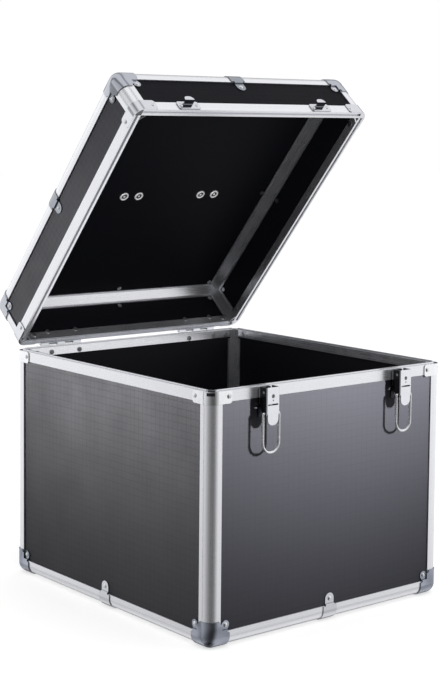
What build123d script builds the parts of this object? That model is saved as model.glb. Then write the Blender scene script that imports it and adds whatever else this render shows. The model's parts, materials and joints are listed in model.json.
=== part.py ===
"""Record carrying case with a hinged lid, two key-locked draw latches and a folding handle.

Case frame used below: X to the right, Y to the back, Z up. Its origin is the middle of the case at the
level of the base extrusions' underside, and the lid is drawn shut. The last section opens the lid and moves
everything into the part's own frame. Lengths are in millimetres, angles in degrees.
"""
from build123d import *
import math
import os
from collections import namedtuple

# ---------------------------------------------------------------------------- case
case_width = 355.0  # left to right, over the extrusions
case_depth = 389.0  # front to back, over the extrusions
body_height = 280.2  # underside of the base extrusions to the rim's sealing face
lid_height = 69.55  # lid's sealing face to the top of its extrusions
seam_gap = 0.5  # between the two sealing faces when the lid is shut
lid_angle = 49.2  # how far the lid stands open at rest

# ---------------------------------------------------------------------------- panels
panel_thickness = 6.0
slot_clearance = 0.1  # on each side of a panel in its slot
panel_edge_gap = 0.1  # between a panel's edge and the floor of its slot

# ---------------------------------------------------------------------------- corner extrusion
corner_radius = 11.5  # outside rounding of every long edge and of the corners in plan
skin = 1.5  # outer flange
flange = 17.0  # reach of the outer flange from the sharp corner
core_wall = 1.3  # between a slot's floor and the other slot
inner_skin = 1.2  # inner flange
strip_run = 8.1  # each leg of the slanted strip inside the case
lip = 3.0  # inner flange beyond the slanted strip
channel_wall = 1.5  # around the extrusion's two hollow channels
outer_channel = 3.9  # legs of the channel between the two slots

# ---------------------------------------------------------------------------- rims
rim_face = 12.2  # height of the body rim's outer face
rim_web = 4.0  # sealing face to the slot's floor in the body rim
rim_inner = 10.0  # height of the body rim's inner face
tongue_inset = 2.8  # outer face to the tongue
tongue_width = 2.2
tongue_height = 1.6
tongue_end_gap = 1.5  # tongue's end to the rim's end
lid_rim_face = 12.8  # height of the lid rim's outer face
lid_rim_web = 5.0  # sealing face to the slot's floor in the lid rim
lid_rim_inner = 11.0  # height of the lid rim's inner face
groove_side_gap = 0.8  # between the tongue and each wall of the lid's groove
groove_depth = 2.2

# ---------------------------------------------------------------------------- pressed corner fittings
cap_sheet = 1.2  # ball corners
cap_reach = 29.0  # from the corner along each edge
cap_band = 16.5  # how far the cap's bands cover the flanges
cap_chamfer = 3.0  # cut corner at each band's end
cap_tab_place = 24.0  # rivet tab's centre from both edges
cap_tab_radius = 5.0
cap_neck = 25.0  # from the corner to where the tab's sides leave the band
step_gap = 0.3  # between a stepped-down tab and the flange's edge
step_width = 1.4  # length of the step
clip_sheet = 1.0
clip_width = 20.5
clip_tab_width = 13.0
clip_rivet_place = 24.5  # rivet's distance from the edge
bracket_sheet = 1.0
bracket_reach = 29.5  # from the corner along the rim
bracket_drop = 2.0  # below the rim's outer face
bracket_rounding = 3.5
bracket_rivet_place = 25.0  # rivet's distance from the corner
body_rivet_drop = 6.2  # bracket rivets below the body's sealing face
lid_rivet_rise = 7.2  # bracket rivets above the lid's sealing face
window_width = 9.0  # opening in the bracket over the plastic insert
window_height = 3.5
window_drop = 1.3  # window's near edge from the sealing face
insert_gap = 0.1  # between the insert or an upright's core and the rims

# ---------------------------------------------------------------------------- rivets
rivet_head_radius = 2.8
rivet_head_height = 1.3
rivet_radius = 1.6
rivet_clearance = 0.1
rivet_tail_radius = 3.0
rivet_tail_height = 1.0
cup_radius = 6.0  # cup washers under the handle's rivets
cup_height = 1.6
cup_wall = 1.1  # width of the cup's raised ring
cup_floor = 0.5

# ---------------------------------------------------------------------------- hinges
hinge_from_side = 67.5  # hinge's middle from the case's side
hinge_width = 60.0
hinge_out = 4.3  # pin's axis behind the rear face
hinge_rise = 3.8  # pin's axis above the body's sealing face
hinge_pin_radius = 1.5
hinge_wall = 1.2  # knuckle's wall and leaf's thickness
hinge_fit = 0.05  # running clearance on the pin
knuckle_gap = 0.35
body_knuckles = 3
body_leaf_height = 12.2
body_leaf_drop = 0.3  # leaf's top below the sealing face
lid_leaf_rise = 4.2  # lower edge of the lid's leaf above the pin's axis
lid_leaf_height = 6.4
link_inset = 0.35  # from the leaf's front to the link, clear of the lid's leaf
link_overlap = 1.0  # how far a link runs into its leaf
hinge_head_radius = 2.4
hinge_head = 0.8
hinge_rivet_place = 21.0  # from the hinge's middle
body_leaf_rivet_drop = 6.4  # below the body's sealing face

# ---------------------------------------------------------------------------- latches
latch_from_side = 75.5  # latch's middle from the case's side
pivot_out = 10.2  # lever's pivot in front of the case
pivot_drop = 5.2  # lever's pivot below the body's sealing face
lever_out = 15.0  # lever's face in front of the case
lever_width = 18.8
lever_sheet = 0.9
lever_top = 5.5  # above the pivot
lever_back_gap = 2.2  # between the lever's sides and the case
lever_side_drop = 12.0  # height below the pivot at which the sides start to taper
lever_bend = 1.4  # outside radius where face and sides meet
tongue_end = 36.0  # below the pivot
lever_tongue_width = 15.0
tongue_corner = 6.75  # rounding of the thumb tongue's two corners
slit_drop = 13.5  # below the pivot
slit_length = 14.6
slit_height = 1.7
lock_drop = 4.2  # below the pivot
lock_radius = 2.2
lock_depth = 3.4
lock_fit = 0.06
lock_sleeve = 0.9  # wall of the sleeve around the lock cylinder
lock_sleeve_depth = 1.3
cam_reach = 6.0
cam_width = 3.6
cam_sheet = 0.9
keyway_height = 2.6
keyway_width = 0.7
peephole_drop = 8.8  # below the pivot
peephole_radius = 0.8
latch_pin_radius = 1.5
latch_fit = 0.06  # running clearance on the latch's pins
cheek_sheet = 1.0
cheek_gap = 0.3  # between the base's cheeks and the lever's sides
ear_radius = 2.6
ear_blend_out = 0.92  # where a cheek or a side leaves its ear, in ear radii
ear_blend_drop = 0.4
cheek_drop = 12.5  # foot of the cheeks below the pivot
base_top = 4.2  # above the pivot
base_bottom = 29.0  # below the pivot
base_sheet = 1.0
base_upper_rivet = 1.0  # below the pivot
base_lower_rivet = 24.0  # below the pivot

# ---------------------------------------------------------------------------- bails and keepers
bail_out = 11.5  # bail's pivot in front of the case
bail_drop = 23.0  # bail's pivot below the lever's pivot
bail_wire = 2.9
bail_gap = 0.65  # between the bail's legs and the lever's sides
bail_length = 43.4  # pivot to the middle of the wire's far run
bail_corner = 11.0  # radius of the far corners, at the wire's middle
bail_eye_bend = 1.8
bail_eye_radius = 3.4  # lever's ear around the bail's pivot
keeper_width = 31.0
keeper_height = 12.4
keeper_rise = 0.9  # above the lid's sealing face
keeper_sheet = 1.2
keeper_rounding = 3.0
keeper_rivet_place = 11.5  # from the latch's middle
hook_width = 13.4
hook_wire_out = 3.4  # caught wire's middle in front of the case
hook_throat = 6.2  # room between the case and the hook's tip
hook_tip = 5.6  # height of the tip above the seat
hook_corner = 5.4
hook_inner_bend = 0.4  # bends of the hook, in sheet thicknesses
hook_outer_bend = 1.4
seat_gap = 0.4  # between the hook and the nearest point of the caught wire

# ---------------------------------------------------------------------------- handle
mount_place = 60.3  # handle mount's middle from the case's middle
mount_length = 35.0
mount_width = 22.0
mount_sheet = 1.5
mount_rivet_place = 11.2  # from the mount's middle
mount_rounding = 4.0
ear_sheet = 2.0
handle_axis_rise = 7.0  # above the lid's top panel
handle_ear_radius = 4.0
handle_pin_radius = 2.0
handle_pin_head = 1.0
handle_pin_head_radius = 3.2
handle_fit = 0.05
handle_eye_width = 7.2
handle_side_gap = 0.3
handle_reach = 36.0  # axis to the grip's middle
arm_height = 9.0
grip_width = 17.0
grip_height = 12.6
grip_overhang = 6.0  # grip beyond the middle of each arm
grip_rounding = 5.0

# ---------------------------------------------------------------------------- keys
key_head = 20.0
key_head_length = 21.0
key_length = 38.0
key_sheet = 1.8
key_neck = 6.0  # length of the tapered neck
key_blade = 5.4
key_bit = 2.4  # bit's reach beyond the blade
key_hole_radius = 2.0
key_place = 22.0  # key's middle from the case's middle
key_from_front = 70.0
key_lift = 0.3  # above the floor

# ---------------------------------------------------------------------------- worked out from these
half_width = case_width / 2
front = -case_depth / 2
rear = case_depth / 2
lid_base = body_height + seam_gap
lid_top = lid_base + lid_height

panel_face = skin + slot_clearance  # a panel's outer face, measured inwards
panel_back = panel_face + panel_thickness
slot_far = panel_back + slot_clearance
slot_floor = slot_far + core_wall
panel_edge = slot_floor + panel_edge_gap
inner_face = slot_far + inner_skin
strip_reach = inner_face + strip_run
inner_flange = strip_reach + lip

hinge_place = half_width - hinge_from_side
hinge_y = rear + hinge_out
hinge_z = body_height + hinge_rise
latch_place = half_width - latch_from_side
pivot_y = -pivot_out
pivot_z = body_height - pivot_drop
eye_y = -bail_out
eye_z = pivot_z - bail_drop
leg_place = lever_width / 2 + bail_gap + bail_wire / 2
rivet_hole = rivet_radius + rivet_clearance
top_panel_face = lid_top - panel_face
far = 2 * (case_width + case_depth)  # longer than anything here
cut_over = 1.0  # how far a short cut runs past the face it leaves

Rivet = namedtuple("Rivet", "point inward outer inner")
SIDES = {
    "front": (0, (0, front), case_width),
    "rear": (180, (0, rear), case_width),
    "left": (-90, (-half_width, 0), case_depth),
    "right": (90, (half_width, 0), case_depth),
}
CORNERS = ("front_left", "rear_left", "front_right", "rear_right")


# ---------------------------------------------------------------------------- helpers
def block(x, y, z):
    """Box between a (low, high) pair for each axis."""
    sizes = [high - low for low, high in (x, y, z)]
    middle = [(high + low) / 2 for low, high in (x, y, z)]
    return Pos(*middle) * Box(*sizes)


def polygon(*points):
    return make_face(Polyline(*points, close=True))


def rounded(face, corner, radius):
    """The face with the corner nearest to the given point rounded."""
    return fillet(face.vertices().sort_by_distance((*corner, 0))[0], radius)


def along_x(outline, low, high):
    """Outline in (y, z), extruded along X."""
    return extrude(Plane.YZ.offset(low) * outline, high - low)


def along_y(outline, low, high):
    """Outline in (x, z), extruded along Y."""
    return extrude(Plane((0, high, 0), x_dir=(1, 0, 0), z_dir=(0, -1, 0)) * outline, high - low)


def along_z(outline, low, high):
    """Outline in (x, y), extruded along Z."""
    return extrude(Plane.XY.offset(low) * outline, high - low)


def rod_x(radius, low, high, y, z):
    """Round rod along X."""
    return along_x(Pos(y, z) * Circle(radius), low, high)


def at_side(side, piece):
    """Moves a piece drawn for a side whose outer face is y = 0, inwards +Y, to that side of the case."""
    turn, (x, y), _ = SIDES[side]
    return Pos(x, y, 0) * Rot(0, 0, turn) * piece


def at_corner(piece):
    """Moves a piece drawn for a corner at the origin, the case in its positive octant, to the front left."""
    return Pos(-half_width, front, 0) * piece


def four_corners(piece):
    """The front left piece and its mirror images, in the order of CORNERS."""
    left = [piece, mirror(piece, about=Plane.XZ)]
    return left + [mirror(one, about=Plane.YZ) for one in left]


def under_lid_top(piece):
    """Turns a piece drawn for the base upside down and moves it up to the lid's top."""
    return Pos(0, 0, lid_top) * mirror(piece, about=Plane.XY)


# ---------------------------------------------------------------------------- rivets
def side_rivet(side, along, z, outer, inner=panel_back):
    """Rivet through a side wall; outer and inner are its grip's ends, inwards from the outer face."""
    place = at_side(side, Pos(along, 0, z))
    turn = math.radians(SIDES[side][0])
    return Rivet(tuple(place.position), (-math.sin(turn), math.cos(turn), 0), outer, inner)


def floor_rivet(x, y, outer):
    return Rivet((x, y, 0), (0, 0, 1), outer, panel_back)


def top_rivet(x, y, outer, inner=panel_back):
    return Rivet((x, y, lid_top), (0, 0, -1), outer, inner)


def rivet_solid(spec, cupped=False):
    """Domed head, shank and flat tail, turned about the rivet's own axis. A cupped rivet ends in a cup
    washer: a raised ring around a sunk floor with the tail in its middle."""
    dome = (rivet_head_radius**2 + rivet_head_height**2) / (2 * rivet_head_height)
    half_turn = math.asin(rivet_head_radius / dome) / 2
    crown = spec.outer - rivet_head_height
    head = ThreePointArc(
        (0, crown),
        (dome * math.sin(half_turn), crown + dome * (1 - math.cos(half_turn))),
        (rivet_head_radius, spec.outer),
    )
    end = spec.inner + rivet_tail_height
    if cupped:
        tail = [
            (cup_radius, spec.inner),
            (cup_radius, spec.inner + cup_height / 2),
            (cup_radius - cup_wall / 2, spec.inner + cup_height),
            (cup_radius - cup_wall, spec.inner + cup_height),
            (rivet_tail_radius, spec.inner + cup_floor),
            (rivet_radius, spec.inner + cup_floor),
            (rivet_radius, end),
        ]
    else:
        tail = [(rivet_tail_radius, spec.inner), (rivet_tail_radius, end)]
    rest = Polyline(
        (rivet_head_radius, spec.outer),
        (rivet_radius, spec.outer),
        (rivet_radius, spec.inner),
        *tail,
        (0, end),
        (0, crown),
    )
    turned = revolve(Plane.XZ * make_face(head.edges() + rest.edges()), Axis.Z)
    return Plane(spec.point, z_dir=spec.inward) * turned


def drill(piece, rivets):
    """Takes the rivets' holes out of a piece, for those rivets that pass through it."""
    bounds = piece.bounding_box()
    for spec in rivets:
        start, inward = Vector(spec.point), Vector(spec.inward)
        ends = [start + inward * spec.outer, start + inward * spec.inner]
        low = [min(a, b) - rivet_hole for a, b in zip(ends[0], ends[1])]
        high = [max(a, b) + rivet_hole for a, b in zip(ends[0], ends[1])]
        misses = any(h < a or l > b for l, h, a, b in zip(low, high, bounds.min, bounds.max))
        if not misses:
            hole = Plane(spec.point, z_dir=spec.inward) * along_z(
                Circle(rivet_hole), spec.outer - rivet_head_height, spec.inner + rivet_tail_height
            )
            piece = piece - hole
    return piece


# ---------------------------------------------------------------------------- extrusions
def channels():
    """The two hollow channels inside the corner extrusion."""
    outer = slot_floor - channel_wall
    inner = slot_floor + insert_gap
    reach = inner_face + strip_reach - channel_wall * math.sqrt(2) - inner
    return (
        polygon((outer - outer_channel, outer), (outer, outer - outer_channel), (outer, outer)),
        polygon((inner, inner), (reach, inner), (inner, reach)),
    )


def corner_section():
    """Section of the corner extrusion; (0, 0) is where its two outer faces would meet."""
    half = [
        (flange, 0),
        (flange, skin),
        (slot_floor, skin),
        (slot_floor, slot_far),
        (inner_flange, slot_far),
        (inner_flange, inner_face),
        (strip_reach, inner_face),
    ]
    section = polygon((0, 0), *half, *[(v, u) for u, v in reversed(half)])
    section = rounded(section, (0, 0), corner_radius)
    for channel in channels():
        section = section - channel
    return section


def mitre_scrap():
    """What the extrusion along +X leaves to its neighbours and the ball corner at the origin."""
    size = inner_flange + skin
    side = polygon((0, 0), (size, size), (0, size))
    return along_z(side, 0, size) + along_y(side, 0, size) + block((0, corner_radius), (0, size), (0, size))


def edge_extrusion(length):
    """Horizontal edge of the base: along X, centred, mitred at both ends."""
    bar = along_x(corner_section(), 0, length)
    bar = bar - mitre_scrap()
    bar = bar - Pos(length, 0, 0) * mirror(mitre_scrap(), about=Plane.YZ)
    return Pos(-length / 2, 0, 0) * bar


def upright_extrusion(height, core_height):
    """Upright at a corner at the origin: mitred at its foot, and cut back at the top to carry the rims."""
    tip = inner_face + strip_reach - slot_floor
    core = polygon((slot_floor, slot_floor), (tip, slot_floor), (slot_floor, tip)) - channels()[1]
    bar = along_x(corner_section(), 0, height) + along_x(core, 0, core_height)
    bar = bar - mitre_scrap()
    return Plane((0, 0, 0), x_dir=(0, 0, 1), z_dir=(0, 1, 0)) * bar


def rim_bar(section, length, level):
    """Rim along X, its ends rounded in plan where they pass the case's rounded corners."""
    bar = Pos(0, 0, level) * along_x(section, slot_floor - length / 2, length / 2 - slot_floor)
    plan = RectangleRounded(length, 4 * corner_radius, corner_radius)
    return bar & along_z(Pos(0, 2 * corner_radius) * plan, -far, far)


def body_rim(length):
    """Body rim along X; its tongue stops short of the ends, clear of the lid's corners as it swings."""
    bar = rim_bar(body_rim_section(), length, body_height)
    end = length / 2 - slot_floor
    for low, high in ((-end - cut_over, tongue_end_gap - end), (end - tongue_end_gap, end + cut_over)):
        bar = bar - block((low, high), (0, inner_face), (body_height, body_height + 2 * tongue_height))
    return bar


def body_rim_section():
    """(inwards from the outer face, up from the sealing face); the tongue stands on the sealing face."""
    tongue_far = tongue_inset + tongue_width
    return polygon(
        (0, -rim_face),
        (skin, -rim_face),
        (skin, -rim_web),
        (slot_far, -rim_web),
        (slot_far, -rim_inner),
        (inner_face, -rim_inner),
        (inner_face, 0),
        (tongue_far, 0),
        (tongue_far, tongue_height),
        (tongue_inset, tongue_height),
        (tongue_inset, 0),
        (0, 0),
    )


def lid_rim_section():
    """(inwards from the outer face, up from the sealing face); the groove takes the body's tongue."""
    groove_near = tongue_inset - groove_side_gap
    groove_far = tongue_inset + tongue_width + groove_side_gap
    return polygon(
        (0, 0),
        (groove_near, 0),
        (groove_near, groove_depth),
        (groove_far, groove_depth),
        (groove_far, 0),
        (inner_face, 0),
        (inner_face, lid_rim_inner),
        (slot_far, lid_rim_inner),
        (slot_far, lid_rim_web),
        (skin, lid_rim_web),
        (skin, lid_rim_face),
        (0, lid_rim_face),
    )


def corner_insert(low, high):
    """Block that fills the corner between two rims."""
    size = slot_floor - insert_gap
    plan = rounded(polygon((0, 0), (far, 0), (far, far), (0, far)), (0, 0), corner_radius) & polygon(
        (0, 0), (size, 0), (size, size), (0, size)
    )
    return along_z(plan, low, high)


# ---------------------------------------------------------------------------- pressed fittings
def octant(low, radius):
    """Large block with its corner at (low, low, low) rounded like the case's corner."""
    solid = block((low, far), (low, far), (low, far))
    corner = solid.vertices().sort_by_distance((low, low, low))[0]
    return fillet([edge for edge in solid.edges() if tuple(corner) in ends_of(edge)], radius)


def ends_of(edge):
    return [tuple(vertex) for vertex in edge.vertices()]


def tab_solid(outline, neck, steps, sheet):
    """Rivet tab on the face z = 0. The neck comes from the band, steps down past the flange's edge and lies
    on the panel. steps are the outlines of the panel's window and of the step inside it."""
    window, step = steps
    top = along_z(neck & step, -sheet, 0)
    riser = along_z(neck & step & window, -sheet, panel_face)
    plate = along_z((outline + neck) & window, panel_face - sheet, panel_face)
    return top + riser + plate


def ball_corner():
    """Pressed cap over the corner at the origin, with a band along each edge and a tab on each face."""
    outer = octant(-cap_sheet, corner_radius + cap_sheet)
    shell = outer - octant(0, corner_radius)
    low = -2 * cap_sheet
    chamfered = cap_band - cap_chamfer / 2
    outline = polygon(
        (low, low),
        (cap_reach, low),
        (cap_reach, chamfered),
        (cap_reach - cap_chamfer, cap_band),
        (cap_band, cap_band),
        (cap_band, cap_reach - cap_chamfer),
        (chamfered, cap_reach),
        (low, cap_reach),
    )
    press = along_z(outline, low, corner_radius)
    diagonal = Axis((0, 0, 0), (1, 1, 1))
    cap = shell & (press + press.rotate(diagonal, 120) + press.rotate(diagonal, 240))

    edge = flange + step_gap
    window = polygon((edge, edge), (far, edge), (far, far), (edge, far))
    inside = edge + step_width
    step = polygon((0, 0), (far, 0), (far, inside), (inside, inside), (inside, far), (0, far))
    root = cap_band - cap_sheet
    near = cap_tab_place - cap_tab_radius * math.sqrt(0.5)
    beyond = cap_tab_place + cap_tab_radius * math.sqrt(0.5)
    neck = polygon((root, root), (cap_neck, root), (beyond, near), (near, beyond), (root, cap_neck))
    head = Pos(cap_tab_place, cap_tab_place) * Circle(cap_tab_radius)
    tab = tab_solid(head, neck, (window, step), cap_sheet)
    for turn in (0, 120, 240):
        cap = cap + tab.rotate(diagonal, turn)
    return cap


def edge_clip():
    """Pressed clip over the middle of a base edge along X, with a rivet tab on both faces."""
    outer = polygon(
        (-clip_sheet, -clip_sheet), (cap_band, -clip_sheet), (cap_band, cap_band), (-clip_sheet, cap_band)
    )
    inner = polygon((0, 0), (far, 0), (far, far), (0, far))
    band = rounded(outer, (-clip_sheet, -clip_sheet), corner_radius + clip_sheet) - rounded(
        inner, (0, 0), corner_radius
    )
    clip = along_x(band, -clip_width / 2, clip_width / 2)

    half = clip_tab_width / 2
    edge = flange + step_gap
    window = polygon((-far, edge), (far, edge), (far, far), (-far, far))
    step = polygon((-far, 0), (far, 0), (far, edge + step_width), (-far, edge + step_width))
    foot = cap_band - skin
    neck = polygon((-half, foot), (half, foot), (half, clip_rivet_place), (-half, clip_rivet_place))
    tab = tab_solid(Pos(0, clip_rivet_place) * Circle(half), neck, (window, step), clip_sheet)
    on_front = Plane((0, 0, 0), x_dir=(-1, 0, 0), z_dir=(0, 1, 0)) * tab
    return clip + tab + on_front


def rim_bracket(low, high):
    """Pressed bracket around the upright corner at the origin."""
    reach = bracket_reach
    outer = polygon(
        (-bracket_sheet, -bracket_sheet), (reach, -bracket_sheet), (reach, reach), (-bracket_sheet, reach)
    )
    inner = polygon((0, 0), (far, 0), (far, far), (0, far))
    band = rounded(outer, (-bracket_sheet, -bracket_sheet), corner_radius + bracket_sheet) - rounded(
        inner, (0, 0), corner_radius
    )
    bracket = along_z(band, low, high)
    ends = [edge for edge in bracket.edges().filter_by(Axis.X) + bracket.edges().filter_by(Axis.Y)]
    ends = [edge for edge in ends if edge.length < 2 * bracket_sheet]
    return fillet(ends, bracket_rounding)


def bracket_window():
    """Opening through the rounded corner of a body bracket, over the plastic insert."""
    low = body_height - window_drop - window_height
    across = (-window_width / 2, window_width / 2)
    window = Rot(0, 0, 45) * block((-far, far), across, (low, low + window_height))
    return window & block((-corner_radius, corner_radius), (-corner_radius, corner_radius), (-far, far))


# ---------------------------------------------------------------------------- hinges
def knuckle_spans(count_all):
    """(low, high) along the hinge for every knuckle, body knuckles first and last."""
    width = (hinge_width - knuckle_gap * (count_all - 1)) / count_all
    starts = [-hinge_width / 2 + i * (width + knuckle_gap) for i in range(count_all)]
    return [(start, start + width) for start in starts]


def hinge_leaf(plate, link, spans):
    """Leaf drawn behind y = 0, the rear face; y and z are measured from there and from the sealing face."""
    knuckle = Circle(hinge_pin_radius + hinge_wall)
    leaf = plate
    for low, high in spans:
        leaf = leaf + along_x(link + Pos(hinge_out, hinge_rise) * knuckle, low, high)
    bore = rod_x(hinge_pin_radius + hinge_fit, -far, far, hinge_out, hinge_rise)
    return leaf - bore


def body_leaf():
    top = -body_leaf_drop
    plate = block((-hinge_width / 2, hinge_width / 2), (0, hinge_wall), (top - body_leaf_height, top))
    link = polygon(
        (link_inset, top - link_overlap),
        (link_inset, top),
        (hinge_out - hinge_pin_radius - hinge_wall, hinge_rise),
        (hinge_out, hinge_rise),
        (hinge_out, hinge_rise - hinge_pin_radius - hinge_wall),
        (hinge_wall, top - link_overlap),
    )
    return hinge_leaf(plate, link, knuckle_spans(2 * body_knuckles - 1)[0::2])


def lid_leaf():
    bottom = hinge_rise + lid_leaf_rise
    plate = block((-hinge_width / 2, hinge_width / 2), (0, hinge_wall), (bottom, bottom + lid_leaf_height))
    link = polygon(
        (0, bottom + link_overlap),
        (0, bottom - link_overlap),
        (hinge_out - hinge_pin_radius - hinge_wall, hinge_rise),
        (hinge_out, hinge_rise),
        (hinge_out, hinge_rise + hinge_pin_radius + hinge_wall),
        (hinge_wall, bottom + link_overlap),
    )
    return hinge_leaf(plate, link, knuckle_spans(2 * body_knuckles - 1)[1::2])


def hinge_pin():
    half = hinge_width / 2
    pin = rod_x(hinge_pin_radius, -half, half, hinge_out, hinge_rise)
    for low in (-half - hinge_head, half):
        pin = pin + rod_x(hinge_head_radius, low, low + hinge_head, hinge_out, hinge_rise)
    return pin


def at_hinges(piece):
    """A piece drawn behind the rear face, in both hinges' places."""
    return [Pos(x, rear, body_height) * piece for x in (-hinge_place, hinge_place)]


# ---------------------------------------------------------------------------- latches
def latch_base():
    """Plate on the rim and the panel, stepped past the rim's lower edge, with two cheeks for the pin."""
    half = lever_width / 2 - lever_sheet - cheek_gap
    edge = body_height - rim_face - step_gap
    top, bottom = pivot_z + base_top, pivot_z - base_bottom
    depth = panel_face
    plate = along_x(
        polygon(
            (-base_sheet, top),
            (0, top),
            (0, edge),
            (depth, edge - depth),
            (depth, bottom),
            (depth - base_sheet, bottom),
            (depth - base_sheet, edge - depth - base_sheet / 2),
            (-base_sheet, edge - base_sheet / 2),
        ),
        -half,
        half,
    )
    foot = pivot_z - cheek_drop
    cheek = polygon(
        (0, pivot_z + ear_radius),
        (pivot_y, pivot_z + ear_radius),
        (pivot_y - ear_radius * ear_blend_out, pivot_z - ear_radius * ear_blend_drop),
        (-base_sheet, foot),
        (depth - base_sheet / 2, foot),
        (depth - base_sheet / 2, edge - depth),
        (0, edge),
    ) + Pos(pivot_y, pivot_z) * Circle(ear_radius)
    base = plate
    for low in (-half, half - cheek_sheet):
        base = base + along_x(cheek, low, low + cheek_sheet)
    return base - rod_x(latch_pin_radius, -far, far, pivot_y, pivot_z)


def latch_lever():
    """Folded cover with the thumb tongue; its sides turn on the base's pin and carry the bail."""
    half = lever_width / 2
    face = -lever_out
    back = -lever_back_gap
    top = pivot_z + lever_top
    taper = pivot_z - lever_side_drop
    outer = polygon((-half, face), (half, face), (half, back), (-half, back))
    inner = polygon(
        (-half + lever_sheet, face + lever_sheet),
        (half - lever_sheet, face + lever_sheet),
        (half - lever_sheet, back + cut_over),
        (-half + lever_sheet, back + cut_over),
    )
    for x in (-half, half):
        outer = rounded(outer, (x, face), lever_bend)
    folded = along_z(outer - inner, eye_z - bail_eye_radius, top)
    side = polygon(
        (face, top),
        (back, top),
        (back, taper),
        (eye_y + bail_eye_radius * ear_blend_out, eye_z - bail_eye_radius * ear_blend_drop),
        (eye_y - bail_eye_radius, eye_z),
        (face, eye_z + bail_eye_radius),
    ) + Pos(eye_y, eye_z) * Circle(bail_eye_radius)
    lever = folded & along_x(side, -half, half)

    end = pivot_z - tongue_end
    width = lever_tongue_width / 2
    tongue = polygon((-width, end), (width, end), (width, taper), (-width, taper))
    for x in (-width, width):
        tongue = rounded(tongue, (x, end), tongue_corner)
    lever = lever + along_y(tongue, face, face + lever_sheet)

    sleeve = lock_radius + lock_fit + lock_sleeve
    lock_z = pivot_z - lock_drop
    lever = lever + along_y(Pos(0, lock_z) * Circle(sleeve), face, face + lock_sleeve_depth + lever_sheet)
    lever = lever - along_y(Pos(0, lock_z) * Circle(lock_radius + lock_fit), -far, 0)
    lever = lever - along_y(Pos(0, pivot_z - peephole_drop) * Circle(peephole_radius), -far, 0)
    lever = lever - along_y(Pos(0, pivot_z - slit_drop) * SlotOverall(slit_length, slit_height), -far, 0)
    lever = lever - rod_x(latch_pin_radius + latch_fit, -far, far, pivot_y, pivot_z)
    return lever - rod_x(bail_wire / 2 + latch_fit, -far, far, eye_y, eye_z)


def latch_pin():
    half = lever_width / 2 + cheek_gap
    return rod_x(latch_pin_radius, -half, half, pivot_y, pivot_z)


def latch_lock():
    """Lock cylinder with its keyway and the cam behind it."""
    lock_z = pivot_z - lock_drop
    face = -lever_out
    plug = along_y(Pos(0, lock_z) * Circle(lock_radius), face, face + lock_depth)
    keyway = block(
        (-keyway_width / 2, keyway_width / 2),
        (face, face + lock_depth * 0.6),
        (lock_z - keyway_height / 2, lock_z + keyway_height / 2),
    )
    half = cam_width / 2
    cam = polygon(
        (-half, lock_z - cam_reach + half), (half, lock_z - cam_reach + half), (half, lock_z), (-half, lock_z)
    )
    cam = cam + Pos(0, lock_z - cam_reach + half) * Circle(half) + Pos(0, lock_z) * Circle(half)
    back = face + lock_depth
    return plug - keyway + along_y(cam, back - cam_sheet, back)


def latch_bail():
    """Wire loop that hangs from the lever, its two ends bent into the lever's sides."""
    bottom = eye_z - bail_length
    inside = lever_width / 2 - lever_sheet
    path = Polyline(
        (-inside, eye_z),
        (-leg_place, eye_z),
        (-leg_place, bottom),
        (leg_place, bottom),
        (leg_place, eye_z),
        (inside, eye_z),
    )
    low = [corner for corner in path.vertices() if corner.Y < eye_z - 1]
    path = fillet(low, bail_corner)
    high = [v for v in path.vertices() if abs(abs(v.X) - leg_place) < 0.01 and abs(v.Y - eye_z) < 0.01]
    path = fillet(high, bail_eye_bend)
    path = Plane((0, eye_y, 0), x_dir=(1, 0, 0), z_dir=(0, -1, 0)) * path
    start = Plane((-inside, eye_y, eye_z), z_dir=(1, 0, 0))
    return sweep(start * Circle(bail_wire / 2), path=path)


def caught_wire_z():
    """Height of the bail's far run when it sits over the hook with the lever shut."""
    across = bail_out - hook_wire_out
    return eye_z + math.sqrt(bail_length**2 - across**2)


def keeper():
    """Plate with an upturned hook; drawn in front of y = 0, the lid's front face."""
    low = lid_base + keeper_rise
    high = low + keeper_height
    half = hook_width / 2
    inside = bail_corner - bail_wire / 2
    overhang = max(0, half - (leg_place - bail_corner))
    sag = inside - math.sqrt(inside**2 - overhang**2)  # the wire's rounded corners dip beside the middle
    seat = caught_wire_z() - bail_wire / 2 - sag - seat_gap
    out = -hook_throat - keeper_sheet
    tip = seat + hook_tip
    outline = RectangleRounded(keeper_width, keeper_height, keeper_rounding)
    plate = along_y(Pos(0, (low + high) / 2) * outline, -keeper_sheet, 0)
    section = polygon(
        (0, low + keeper_height / 2),
        (0, seat),
        (-hook_throat, seat),
        (-hook_throat, tip),
        (out, tip),
        (out, seat - keeper_sheet),
        (-keeper_sheet, seat - keeper_sheet),
        (-keeper_sheet, low + keeper_height / 2),
    )
    section = rounded(section, (-hook_throat, seat), keeper_sheet * hook_inner_bend)
    section = rounded(section, (out, seat - keeper_sheet), keeper_sheet * hook_outer_bend)
    shield = polygon((-half, low), (half, low), (half, tip), (-half, tip))
    for x in (-half, half):
        shield = rounded(shield, (x, tip), hook_corner)
    return plate + (along_x(section, -half, half) & along_y(shield, out, 0))


def at_latches(piece):
    """A piece drawn in front of y = 0, in both latches' places: left, then right."""
    return [Pos(x, front, 0) * piece for x in (-latch_place, latch_place)]


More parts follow.
